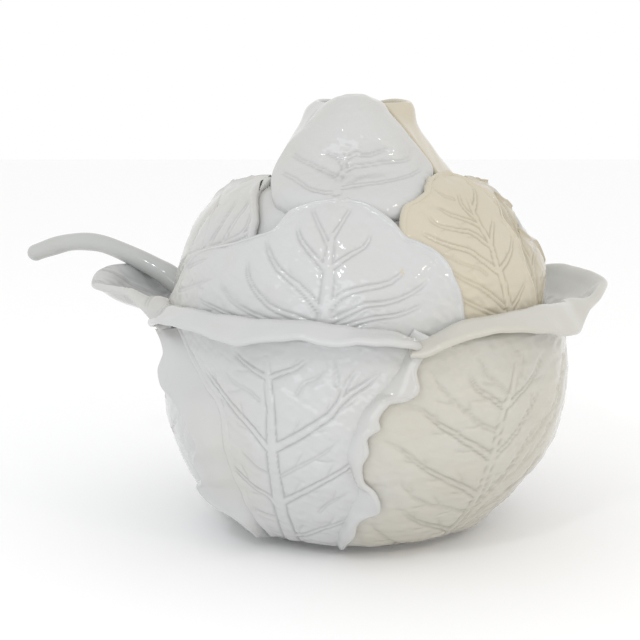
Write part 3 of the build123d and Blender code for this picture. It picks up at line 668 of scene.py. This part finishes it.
lid_leaf("lid_side_leaf",
         [(36, 124), (34, 150), (36, 175), (42, 195), (50, 205), (57, 209)],
         [(58, 124), (58, 160), (60, 190), (62, 209.5)],
         [(62, 124), (64, 136), (67.5, 146.8), (74, 152.1), (83, 158.2), (85, 166), (84, 170.7), (72, 176.5),
          (66, 182), (70, 187), (79, 190.9), (78.5, 195.1), (72, 198.6), (76, 202.2), (82, 204.7), (72, 208)],
         [(60, 126), (60, 160), (61, 198)],
         [[(52, 144), (58, 153.7), (66, 162.8)], [(60, 158), (67, 166), (74, 170)],
          [(53, 166), (59.6, 177.7), (61, 186)], [(60.5, 172), (66, 186), (69, 198)]],
         69, lift=0.6, rise=(1.0, 1.8, 1.0), rise_width=7, across=130, along=130)
lid_leaf("lid_cream_leaf",
         [(14, 124), (9, 150), (7, 170), (8.6, 180), (9.6, 187.7), (10.8, 192.6), (12.6, 196), (15.9, 197.9),
          (19.6, 200.3), (22.4, 202.2), (24, 204.6), (26, 206.1), (29, 208)],
         [(42, 124), (41, 158), (39, 185), (38, 210.4)],
         [(58, 124), (58, 132), (57.4, 139.8), (56.8, 147.7), (55.7, 153.5), (54.2, 160.4), (55.6, 167.6),
          (57.2, 174.9), (56.1, 180.4), (55.4, 185.9), (58.4, 191.5), (60, 197.2), (56.9, 201.4),
          (53.8, 204.3), (52.6, 207.5), (49.4, 209.2), (45.2, 210.2)],
         [(43.9, 132), (43.3, 137.7), (42, 146), (40.9, 157.3), (40.1, 163.7), (40.8, 175.7), (39.5, 183.9),
          (40.2, 192.6), (41.5, 200)],
         [[(40.6, 142), (35.1, 150.1), (30.5, 155.3), (26.7, 158.3), (22, 164)],
          ([(39.8, 160.9), (35, 167), (31, 172), (25.6, 174.7), (19.8, 178.9), (15.1, 182.6)], (1.6, 0.6)),
          ([(35, 160), (33.3, 162.4), (27.3, 166.1), (22.4, 170.2), (17, 174)], CREASE),
          [(40.2, 173.1), (33.4, 181.4), (27.4, 183.1), (21.8, 185.9), (19.5, 190.6)],
          [(39.4, 183.4), (34.7, 186.9), (29.3, 189.8), (24.1, 194.6)],
          [(39.6, 186), (36.2, 194.2), (37.5, 200.5)], ([(33.6, 197.7), (29.6, 199.9), (27.1, 203.1)], CREASE),
          [(43.6, 140.4), (49, 149.4), (51.4, 153.2)], [(41.1, 161.5), (48.5, 169), (54.1, 176.4)],
          ([(41.2, 174.6), (43.7, 180.3), (48.2, 186.1)], (1.2, 0.5)), [(40.6, 192), (46, 198), (50, 203)],
          [(43.6, 133), (36, 139), (28, 146), (22, 153)]],
         71, width=(2.3, 1.0), lift=2.6, rise=(1.2, 1.2, 1.6), rise_width=6, across=180, along=170, thickness=4.2)
lid_leaf("lid_front_leaf",
         [(-84, 124), (-79, 133), (-73, 140), (-69.8, 146), (-65.2, 157.8), (-59.6, 167.2), (-52.7, 171.6),
          (-45.6, 174.2), (-40.3, 177), (-35.5, 179.5), (-30.9, 182.6), (-28.9, 188.3), (-27.4, 192.2),
          (-24.8, 194.4), (-20.6, 196.8), (-15.9, 198.1), (-11, 198.7)],
         [(-15, 124), (-12.6, 140), (-11.6, 160), (-11, 180), (-9.5, 198.7)],
         [(28, 124), (27, 132), (26, 140), (25.6, 147.9), (25, 154.1), (23.8, 159.4), (23.1, 164.4),
          (21.8, 168.5), (19.6, 172.6), (16.6, 175.8), (14.3, 177.9), (11.8, 179.5), (9.9, 182.6),
          (8.1, 186.4), (5.8, 189.8), (2.7, 193.2), (-0.7, 196.2), (-4.6, 197.9), (-8, 198.7)],
         [(-12.3, 130), (-12.1, 136.9), (-11.7, 147.6), (-11.4, 157.8), (-11.5, 166.7), (-11.4, 174.1),
          (-11.2, 180.5)],
         [([(-12.6, 142.5), (-16.3, 150.9), (-18.9, 155.2), (-22.3, 159), (-25.3, 162.7), (-29.1, 169.9),
            (-31.5, 177)], (1.7, 0.6)),
          ([(-11.9, 163.8), (-16, 170.4), (-20.3, 177.6), (-22.7, 184)], (1.4, 0.6)),
          ([(-16, 137.5), (-20.2, 140.3), (-26, 143.7), (-30.9, 150.8), (-34.1, 157.1), (-36.1, 166)], (1.4, 0.6)),
          ([(-66, 145), (-54.6, 151.3), (-47.1, 156)], CREASE), ([(-62.1, 159.5), (-51.7, 165.3)], CREASE),
          ([(-26, 137), (-34.4, 141.4), (-40, 146.7), (-44.7, 155)], (0.9, 0.4)),
          ([(-30, 134), (-44, 140), (-54, 144)], (0.9, 0.4)),
          ([(-10.9, 145.2), (-8, 151.4), (-4.9, 154), (-1.3, 155.5), (4.7, 157.6), (9.6, 164)], (1.6, 0.6)),
          ([(-10.6, 164.8), (-5.3, 171.3), (-1.8, 175.2), (0.3, 182)], (1.3, 0.5)),
          ([(-10.4, 138.6), (-4.9, 143.8), (-1.8, 147.2), (4.1, 148.2), (11.4, 153.3), (16, 159)], (1.3, 0.5)),
          ([(-8, 135), (0.3, 140.3), (6.7, 141.8), (14, 147)], (1.1, 0.5)),
          ([(-11.2, 178.5), (-8.9, 185.9), (-6.2, 193.3)], (0.9, 0.5)),
          ([(-11.5, 174), (-14.4, 181.8), (-19.5, 193)], (0.9, 0.5))],
         73, width=(4.4, 1.3), lift=4.4, rise=(0.8, 1.0, 1.0), rise_width=7, across=230, along=200, thickness=4.8,
         ruffle=0.3)


def petal(name, rows, veins, seed, **more):
    """A petal of the finial, from rows of points that cross it from left to right."""
    lid_pieces.append(free_sheet(name, [np.array(row, float) for row in rows], seed=seed, veins=veins, **more))


petal("finial_back_left_petal",
      [[(-47, -44, 202), (-55, -6, 204), (-38, 41, 206), (2, 52, 205)],
       [(-44, -34, 221), (-45.5, -6, 222), (-33, 35, 222), (0, 45, 221)],
       [(-33, -31, 237), (-36, -8, 238), (-28, 27, 238), (-4, 36, 237)],
       [(-25, -27, 246), (-31.5, -8, 247), (-25, 19, 248), (-8, 29, 247)],
       [(-19, -22, 249.5), (-26, -8, 251), (-20, 12, 252.5), (-9, 21, 251)]],
      None, 81, thickness=PETAL_THICK, across=90, along=70)
petal("finial_back_right_petal",
      [[(-2, 52, 205), (38, 42, 206), (55, 2, 204), (44, -44, 202)],
       [(0, 46, 221), (30, 36, 222), (40.5, -2, 222), (32, -34, 221)],
       [(4, 37, 237), (23, 29, 238), (29, -5, 238), (19.5, -32, 237)],
       [(8, 30, 247), (19, 22, 248.5), (26.5, -7, 248), (12, -26, 246)],
       [(9, 22, 251), (17, 15, 252.5), (24.5, -7, 251), (8, -21, 249.5)]],
      None, 83, thickness=PETAL_THICK, across=90, along=70)
petal_veins = [([(-0.07, 0.294), (-0.07, 0.338), (-0.07, 0.431), (-0.05, 0.5), (-0.03, 0.544)], 1.9, 0.9),
               ([(-0.07, 0.381), (-0.12, 0.425), (-0.22, 0.462), (-0.35, 0.488), (-0.5, 0.512)], 0.9, 0.5),
               ([(-0.07, 0.481), (-0.1, 0.5), (-0.18, 0.525)], 0.8, 0.5),
               ([(-0.07, 0.3), (-0.18, 0.306), (-0.35, 0.381), (-0.57, 0.419)], 0.9, 0.5),
               ([(-0.07, 0.438), (-0.05, 0.456), (0.05, 0.475), (0.18, 0.488), (0.3, 0.488), (0.43, 0.5)],
                0.9, 0.5),
               ([(-0.05, 0.5), (-0.03, 0.512), (0.1, 0.519), (0.23, 0.538)], 0.8, 0.5),
               ([(-0.07, 0.325), (-0.05, 0.338), (0.07, 0.362), (0.2, 0.381), (0.35, 0.412), (0.5, 0.45)],
                0.9, 0.5),
               ([(-0.03, 0.356), (0.02, 0.406), (0.1, 0.438)], 0.5, 0.3)]
petal("finial_front_petal",
      [[(-46, -66, 187), (-36, -77, 187), (-14, -88, 188), (6, -87, 188), (20, -81, 188), (30, -72, 188)],
       [(-51, -61, 197), (-38, -76, 196.5), (-14, -86, 196), (6, -84.5, 196), (22, -77, 196.5), (32, -65, 197.5)],
       [(-53, -49, 206.5), (-38, -65, 205.5), (-14, -74.5, 205), (6, -73, 205), (25, -65, 205.5), (35.5, -51, 207)],
       [(-51, -41, 215), (-37, -54.5, 214), (-14, -62.5, 213), (6, -61, 213), (24, -54, 214), (36, -40, 215.5)],
       [(-47, -38, 221.5), (-35, -51.5, 221), (-14, -58.5, 220.5), (6, -58, 220.5), (21, -51.5, 221),
        (31, -37.5, 222)],
       [(-42, -37, 228.5), (-31.5, -50, 229), (-13, -57.5, 229.5), (4, -57.5, 229.5), (17, -50.5, 229),
        (25.5, -37, 228.5)],
       [(-34.5, -36, 236), (-26.5, -48, 236.5), (-12, -55.5, 237), (2, -55.5, 237), (12.5, -48, 236.5),
        (19, -36, 236)],
       [(-29, -33, 242.5), (-22.5, -43.5, 243.5), (-11.5, -50, 244.5), (-1, -50, 244.5), (7.5, -44, 243.5),
        (13.5, -34, 242.5)],
       [(-24.5, -28, 247.5), (-19, -37, 249.2), (-11, -42, 250.8), (-2, -42, 250.8), (5.5, -37, 249.2),
        (10, -29, 247.5)],
       [(-18.5, -23, 249.5), (-15, -28, 252), (-9.5, -31, 253.4), (-4, -31, 253.4), (1.5, -28, 252),
        (5, -24, 249.5)]],
      petal_veins, 85, thickness=4.4, across=130, along=170, rib=0.75, puff=0.7)

# ---------------------------------------------------------------- ladle

LADLE_WAY = radians(165.0)           # way from the axis to the stem's end, turned from +X
SCOOP_OUT = 29.8                     # from the axis to the middle of the scoop
SCOOP_RADIUS, SCOOP_DEPTH = 34.0, 30.0
SCOOP_FOOT, SCOOP_WALL = 13.0, 3.8   # height of its underside, and its thickness
STEM_WIDE, STEM_FLAT = 1.06, 0.96    # the stem is a little wider than it is high
STEM_ROUND = 5.5                     # length over which its end is rounded off


def ladle_spot(out, height):
    """A point in the ladle's upright plane."""
    return np.array([out * cos(LADLE_WAY), out * sin(LADLE_WAY), height])


stem = [(60.5, 40, 5.6), (66, 50, 5.6), (72, 66, 5.7), (80, 92, 5.8), (87.5, 115, 6.2), (96, 124, 6.8),
        (108, 131.5, 7.2), (119, 139.5, 7.6), (126, 144.8, 7.4), (133, 148.5, 6.8), (142, 152.8, 6.4),
        (152, 157, 6.1), (161, 160.5, 5.9), (171, 163.4, 5.8), (182, 164.3, 5.9), (193, 163.4, 5.7),
        (204, 160.6, 5.9), (214, 157.2, 5.7), (221.5, 154.4, 5.9)]
rings, around = 220, 40    # sections along the stem and corners round it
bm = bmesh.new()
bmesh.ops.create_cone(bm, cap_ends=True, segments=around, radius1=1, radius2=1, depth=1)
upright = [e for e in bm.edges if abs(e.verts[0].co.z - e.verts[1].co.z) > 0.5]
bmesh.ops.subdivide_edges(bm, edges=upright, cuts=rings - 1, use_grid_fill=True)
line = smooth(stem, np.linspace(0, 1, rings + 1))
path = np.array([ladle_spot(out, height) for out, height, _ in line])
ahead = np.gradient(path, axis=0)
ahead /= np.linalg.norm(ahead, axis=1, keepdims=True)
sideways = np.array([-sin(LADLE_WAY), cos(LADLE_WAY), 0.0])
over = np.cross(ahead, sideways)
size = line[:, 2] + 0.22 * wobble(path, 22, 91, 2)
length = np.concatenate([[0], np.cumsum(np.linalg.norm(np.diff(path, axis=0), axis=1))])
to_end = length[-1] - length
size *= np.sqrt(np.clip(1 - (1 - np.clip(to_end / STEM_ROUND, 0, 1)) ** 2, 0.0004, 1))
for vert in bm.verts:
    k = int(round((vert.co.z + 0.5) * rings))
    angle = np.arctan2(vert.co.y, vert.co.x)
    oval = np.cos(angle) * sideways * STEM_WIDE + np.sin(angle) * over[k] * STEM_FLAT
    vert.co = (path[k] + size[k] * oval) * MM
bmesh.ops.recalc_face_normals(bm, faces=bm.faces)
bm.verts.layers.float.new("hollow")
ladle_pieces.append(finished("ladle_stem", bm))

quarter = np.linspace(0, pi / 2, 30)
scoop_outer = [(SCOOP_RADIUS * sin(t), SCOOP_FOOT + SCOOP_DEPTH * (1 - cos(t))) for t in quarter]
scoop_inner = [((SCOOP_RADIUS - SCOOP_WALL) * sin(t),
                SCOOP_FOOT + SCOOP_WALL + (SCOOP_DEPTH - SCOOP_WALL) * (1 - cos(t))) for t in quarter[::-1]]
scoop = spun("ladle_scoop", scoop_outer + [(33.9, 44), (33.2, 45), (32, 45.4), (30.9, 44.8)] + scoop_inner, 96)
centre = ladle_spot(SCOOP_OUT, 0.0)
for vert in scoop.data.vertices:
    vert.co.x += centre[0] * MM
    vert.co.y += centre[1] * MM
ladle_pieces.append(scoop)

# ---------------------------------------------------------------- glazes


def shade(code):
    """An sRGB hex colour as linear red, green, blue, alpha."""
    parts = [int(code[i:i + 2], 16) / 255 for i in (1, 3, 5)]
    return tuple(c / 12.92 if c <= 0.04045 else ((c + 0.055) / 1.055) ** 2.4 for c in parts) + (1.0,)


def add(tree, kind, links=(), **settings):
    """A shader node with its settings and what feeds it."""
    node = tree.nodes.new(kind)
    for key, value in settings.items():
        if key.startswith("in_"):
            node.inputs[key[3:].replace("_", " ")].default_value = value
        else:
            setattr(node, key, value)
    for source, target in links:
        tree.links.new(source, node.inputs[target])
    return node


THIN_COAT = 111.1    # mm between the patches where the glaze lies thin
SWELL = 22.22        # mm between the soft waves of the glaze's skin
PITS = 3.846         # mm between its orange-peel pits, drawn coarse enough to show
THIN_FROM, THIN_FULL = 0.42, 0.72    # values of its noise between which the coat turns thin
SWELL_SHARE = 6.0    # how much higher the waves are than the pits
BUMP_HEIGHT, BUMP_STRENGTH = 0.6, 0.12    # mm of the glaze's unevenness, and how much of it shows
GLOSS, GLAZE_IOR = 0.1, 1.44
COLOUR_A, COLOUR_B, COLOUR_OUT = 6, 7, 2    # a colour Mix node's two inputs and its output


def per_metre(gap):
    """The scale of a pattern that repeats about every gap mm."""
    return 1 / (gap * MM)


def glaze(name, body, warm, pooled):
    """Clear glossy glaze over white-slip earthenware.

    It is never one even white: it warms where the body shows through a thin coat, and turns cooler and a little
    darker where it pools in the grooves.
    """
    material = bpy.data.materials.new(name)
    material.use_nodes = True
    tree = material.node_tree
    tree.nodes.clear()
    where = add(tree, "ShaderNodeTexCoord").outputs["Object"]
    patches = add(tree, "ShaderNodeTexNoise", [(where, "Vector")], in_Scale=per_metre(THIN_COAT), in_Detail=3.0,
                  in_Roughness=0.55)
    thin = add(tree, "ShaderNodeMapRange", [(patches.outputs["Fac"], "Value")], interpolation_type="SMOOTHSTEP",
               in_From_Min=THIN_FROM, in_From_Max=THIN_FULL)
    tone = add(tree, "ShaderNodeMix", [(thin.outputs["Result"], "Factor")], data_type="RGBA")
    tone.inputs[COLOUR_A].default_value = shade(body)
    tone.inputs[COLOUR_B].default_value = shade(warm)
    groove = add(tree, "ShaderNodeAttribute", attribute_name="hollow")
    pool = add(tree, "ShaderNodeMix", [(groove.outputs["Fac"], "Factor"), (tone.outputs[COLOUR_OUT], COLOUR_A)],
               data_type="RGBA")
    pool.inputs[COLOUR_B].default_value = shade(pooled)
    pits = add(tree, "ShaderNodeTexNoise", [(where, "Vector")], in_Scale=per_metre(PITS), in_Detail=2.0)
    swell = add(tree, "ShaderNodeTexNoise", [(where, "Vector")], in_Scale=per_metre(SWELL), in_Detail=2.0)
    both = add(tree, "ShaderNodeMath", [(swell.outputs["Fac"], 0), (pits.outputs["Fac"], 2)],
               operation="MULTIPLY_ADD")
    both.inputs[1].default_value = SWELL_SHARE
    bump = add(tree, "ShaderNodeBump", [(both.outputs[0], "Height")], in_Strength=BUMP_STRENGTH,
               in_Distance=BUMP_HEIGHT * MM)
    skin = add(tree, "ShaderNodeBsdfPrincipled",
               [(pool.outputs[COLOUR_OUT], "Base Color"), (bump.outputs["Normal"], "Normal")],
               in_Roughness=GLOSS, in_IOR=GLAZE_IOR)
    add(tree, "ShaderNodeOutputMaterial", [(skin.outputs["BSDF"], "Surface")])
    return material


# cool white of the main leaves, creamier on the right-hand leaves, deeper where the glaze pools thick, greyer on
# the ladle
white = glaze("white_tin_glaze", "#BFC0BF", "#BEBCB6", "#AFB0AE")
pale = glaze("pale_cream_tin_glaze", "#BEBDB6", "#BCB8AC", "#AFACA1")
cream = glaze("cream_tin_glaze", "#C1BAA8", "#BCB39D", "#ABA38E")
# painted shade: a darker copy of the cream glaze for the lid's side leaf, which lies in the shadow of its neighbour
shaded = glaze("cream_tin_glaze_painted_shade", "#B4AC98", "#B0A68F", "#A09882")
grey = glaze("ladle_tin_glaze", "#B4B5B2", "#B1B1AB", "#A3A49F")
leaf_glaze = {"lid_cream_leaf": cream, "lid_side_leaf": shaded, "right_leaf": pale, "right_rim": pale,
              "finial_back_right_petal": cream}

for pieces, body, finish in ((bowl_pieces, "bowl", white), (lid_pieces, "lid", white),
                             (ladle_pieces, "ladle", grey)):
    for piece in pieces:
        piece.data.materials.append(leaf_glaze.get(piece.name, finish))
        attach(piece, body)
        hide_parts(body)

# ---------------------------------------------------------------- floor, light and camera

bm = bmesh.new()
bmesh.ops.create_grid(bm, x_segments=1, y_segments=1, size=6.0)
floor = finished("floor", bm)
paper = bpy.data.materials.new("white_paper")
paper.use_nodes = True
skin = paper.node_tree.nodes["Principled BSDF"]
skin.inputs["Base Color"].default_value = shade("#FBFBFB")
skin.inputs["Roughness"].default_value = 0.9
floor.data.materials.append(paper)


def soft_box(name, place, aim, size, watts, tint):
    """A rectangular studio light aimed at a point."""
    light = bpy.data.lights.new(name, "AREA")
    light.shape = "RECTANGLE"
    light.size, light.size_y = size
    light.energy = watts
    light.color = shade(tint)[:3]
    lamp = bpy.data.objects.new(name, light)
    lamp.location = place
    way = bpy.data.objects.new(name, None).location.copy()
    way[:] = [a - b for a, b in zip(aim, place)]
    lamp.rotation_euler = way.to_track_quat("-Z", "Y").to_euler()
    bpy.context.scene.collection.objects.link(lamp)


# name, place and aim in metres, width and height, watts, tint
soft_box("window", (-0.55, -1.8, 0.30), (0, 0, 0.10), (1.2, 0.7), 6.0, "#EEF4FF")
soft_box("small_window", (-0.5, -1.0, 1.05), (0, 0, 0.15), (0.10, 0.14), 1.7, "#F4F8FF")
soft_box("warm_wall", (1.4, -0.9, 0.35), (0, 0, 0.12), (0.9, 0.7), 2.0, "#FFE6C4")
soft_box("lamp", (0.8, -0.9, 0.85), (0, 0, 0.15), (0.09, 0.12), 0.9, "#FFF4E4")
world = bpy.data.worlds.new("room")
world.use_nodes = True
world.node_tree.nodes["Background"].inputs["Color"].default_value = shade("#FFFFFF")
world.node_tree.nodes["Background"].inputs["Strength"].default_value = 1.0
bpy.context.scene.world = world
bpy.context.scene.view_settings.view_transform = "Standard"

lens = bpy.data.cameras.new("camera")
lens.lens = 70.6
lens.sensor_width = 36.0
camera = bpy.data.objects.new("camera", lens)
camera.location = (-0.026, -0.750, 0.245)
camera.rotation_euler = (radians(80.64), 0, 0)
bpy.context.scene.collection.objects.link(camera)
bpy.context.scene.camera = camera
